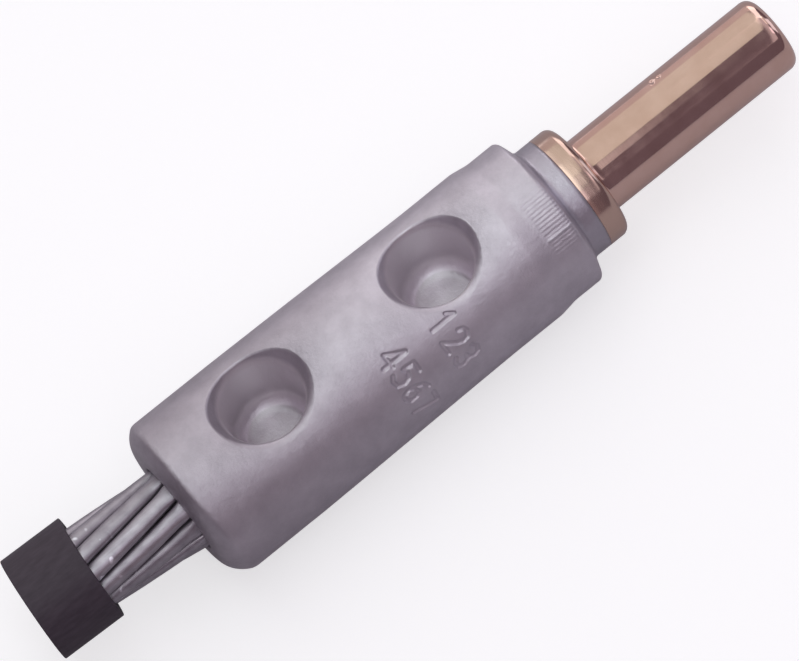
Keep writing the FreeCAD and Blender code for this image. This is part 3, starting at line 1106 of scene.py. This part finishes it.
def floor_material():
    """Pale paper. It glows a little in the picture only, so that no metal mirrors it as white."""
    material, nodes, links, shader = new_material("floor_paper")
    shader.inputs["Base Color"].default_value = (*PAPER_COLOUR, 1)
    shader.inputs["Roughness"].default_value = PAPER_ROUGHNESS
    shader.inputs["Specular IOR Level"].default_value = 0.0
    glow = nodes.new("ShaderNodeEmission")
    glow.inputs["Color"].default_value = (*PAPER_GLOW, 1)
    glow.inputs["Strength"].default_value = 1.0
    path = nodes.new("ShaderNodeLightPath")
    both = nodes.new("ShaderNodeAddShader")
    pick = nodes.new("ShaderNodeMixShader")
    links.new(shader.outputs["BSDF"], both.inputs[0])
    links.new(glow.outputs["Emission"], both.inputs[1])
    links.new(path.outputs["Is Camera Ray"], pick.inputs["Fac"])
    links.new(shader.outputs["BSDF"], pick.inputs[1])
    links.new(both.outputs["Shader"], pick.inputs[2])
    links.new(pick.outputs["Shader"], nodes["Material Output"].inputs["Surface"])
    return material


# Camera, floor and light

PHOTO_WIDTH = 799
PIXELS_PER_MM = 7.04
VIEW_WIDTH = PHOTO_WIDTH / PIXELS_PER_MM
CAMERA_DISTANCE = 1300.0
SENSOR = 36.0
AXIS_TILT = math.radians(38.85)
TO_CAMERA = Vector((-0.113, -0.443, 0.889)).normalized()
ALONG_IN_PICTURE = Vector((0.9936, -0.0504, 0.1011))
AIM_X = -37.8
AIM_RIGHT = 1.79
AIM_UP = 1.46
# Half the floor's side, in metres
FLOOR_REACH = 3.0


def camera():
    """Camera at the photograph's angle, far away with a long lens."""
    along = (ALONG_IN_PICTURE - TO_CAMERA * ALONG_IN_PICTURE.dot(TO_CAMERA)).normalized()
    across = TO_CAMERA.cross(along)
    right = along * math.cos(AXIS_TILT) - across * math.sin(AXIS_TILT)
    up = along * math.sin(AXIS_TILT) + across * math.cos(AXIS_TILT)
    aim = Vector((AIM_X, 0, 0)) + right * AIM_RIGHT + up * AIM_UP
    place = (aim + TO_CAMERA * CAMERA_DISTANCE) * MM
    data = bpy.data.cameras.new("camera")
    data.sensor_width = SENSOR
    data.sensor_fit = "HORIZONTAL"
    data.lens = SENSOR * CAMERA_DISTANCE / VIEW_WIDTH
    data.clip_start = 0.05
    data.clip_end = 20
    item = bpy.data.objects.new("camera", data)
    rows = Matrix((right, up, TO_CAMERA)).transposed()
    item.matrix_world = Matrix.Translation(place) @ rows.to_4x4()
    bpy.context.scene.collection.objects.link(item)
    bpy.context.scene.camera = item


def floor():
    """Flat paper at the height of the part's lowest point."""
    low = CAD_BOX[0][2]
    signs = ((-1, -1), (1, -1), (1, 1), (-1, 1))
    corners = [(x * FLOOR_REACH, y * FLOOR_REACH, low) for x, y in signs]
    mesh = bpy.data.meshes.new("floor")
    mesh.from_pydata(corners, [], [(0, 1, 2, 3)])
    item = bpy.data.objects.new("floor", mesh)
    bpy.context.scene.collection.objects.link(item)
    mesh.materials.append(floor_material())


# Soft panels round the axis, one metre off: middle and width in degrees, ends along X in metres,
# and brightness in red, green and blue
PANEL_DISTANCE = 1.0
PANELS = {
    "low": (-10, 30, -0.7, 0.14, (0.92, 0.96, 0.98)),
    "low_right": (-10, 30, 0.14, 0.9, (0.42, 0.40, 0.40)),
    "back": (15, 20, -0.6, 0.26, (0.42, 0.40, 0.38)),
    "back_right": (15, 20, 0.26, 0.9, (1.50, 1.50, 1.50)),
    "side": (45, 40, -0.3, 0.1, (0.90, 0.95, 0.92)),
    "middle": (62, 74, 0.1, 0.26, (0.53, 0.58, 0.50)),
    "corner": (110, 20, 0.1, 0.15, (0.60, 0.60, 0.60)),
    "side_right": (45, 40, 0.26, 0.9, (1.20, 1.20, 1.20)),
    "top": (95, 60, -0.3, 0.1, (1.70, 1.88, 1.82)),
    "top_right": (105, 80, 0.26, 0.9, (0.40, 0.38, 0.40)),
    "front": (135, 20, -0.3, 0.1, (1.20, 1.15, 1.25)),
    "front_low": (165, 40, -0.2, 0.1, (0.20, 0.15, 0.15)),
}
# Smaller panels, one metre from the middle: direction, side in metres and brightness
SPOTS = {
    "right_low": ((1, 0, 0.35), 0.53, (0.80, 0.85, 0.95)),
    "right_high": ((1, 0.3, 1.0), 0.44, (0.48, 0.46, 0.42)),
    "right_front": ((0.6, -0.35, 0.72), 0.31, (0.66, 0.60, 0.68)),
    "left_front": ((-0.6, -0.3, 0.75), 0.31, (1.8, 1.8, 1.8)),
}
ROOM_GLOW = (0.141, 0.110, 0.137)
MIDDLE = Vector((-0.035, 0, 0))


def area_light(name, place, rows, size, glow):
    """Rectangular light of an even brightness. rows are its own X, Y and back directions."""
    data = bpy.data.lights.new(name, "AREA")
    data.shape = "RECTANGLE"
    data.size, data.size_y = size
    data.energy = math.pi * size[0] * size[1]
    data.color = glow
    item = bpy.data.objects.new(name, data)
    item.matrix_world = Matrix.Translation(place) @ Matrix(rows).transposed().to_4x4()
    bpy.context.scene.collection.objects.link(item)


def lights():
    """Soft panels above the +Y side, darker ones lower down and a dim room elsewhere."""
    along = Vector((1, 0, 0))
    for name, (middle, width, start, end, glow) in PANELS.items():
        back = Vector(radial(math.radians(middle)).tolist())
        place = back * PANEL_DISTANCE + along * ((start + end) / 2)
        across = 2 * PANEL_DISTANCE * math.tan(math.radians(width) / 2)
        area_light(name, place, (along, back.cross(along), back), (end - start, across), glow)
    for name, (towards, size, glow) in SPOTS.items():
        back = Vector(towards).normalized()
        side = back.cross(Vector((0, 1, 0))).normalized()
        place = MIDDLE + back * PANEL_DISTANCE
        area_light(name, place, (side, back.cross(side), back), (size, size), glow)
    world = bpy.data.worlds.new("room")
    world.use_nodes = True
    background = world.node_tree.nodes["Background"]
    background.inputs["Color"].default_value = (*ROOM_GLOW, 1)
    background.inputs["Strength"].default_value = 1.0
    bpy.context.scene.world = world


def main():
    camera()
    floor()
    lights()
    bpy.context.scene.view_settings.view_transform = "Standard"
    barrel(aluminium_cast())
    copper_pin(copper_polished())
    conductor(aluminium_drawn())
    insulation(black_insulation())


main()
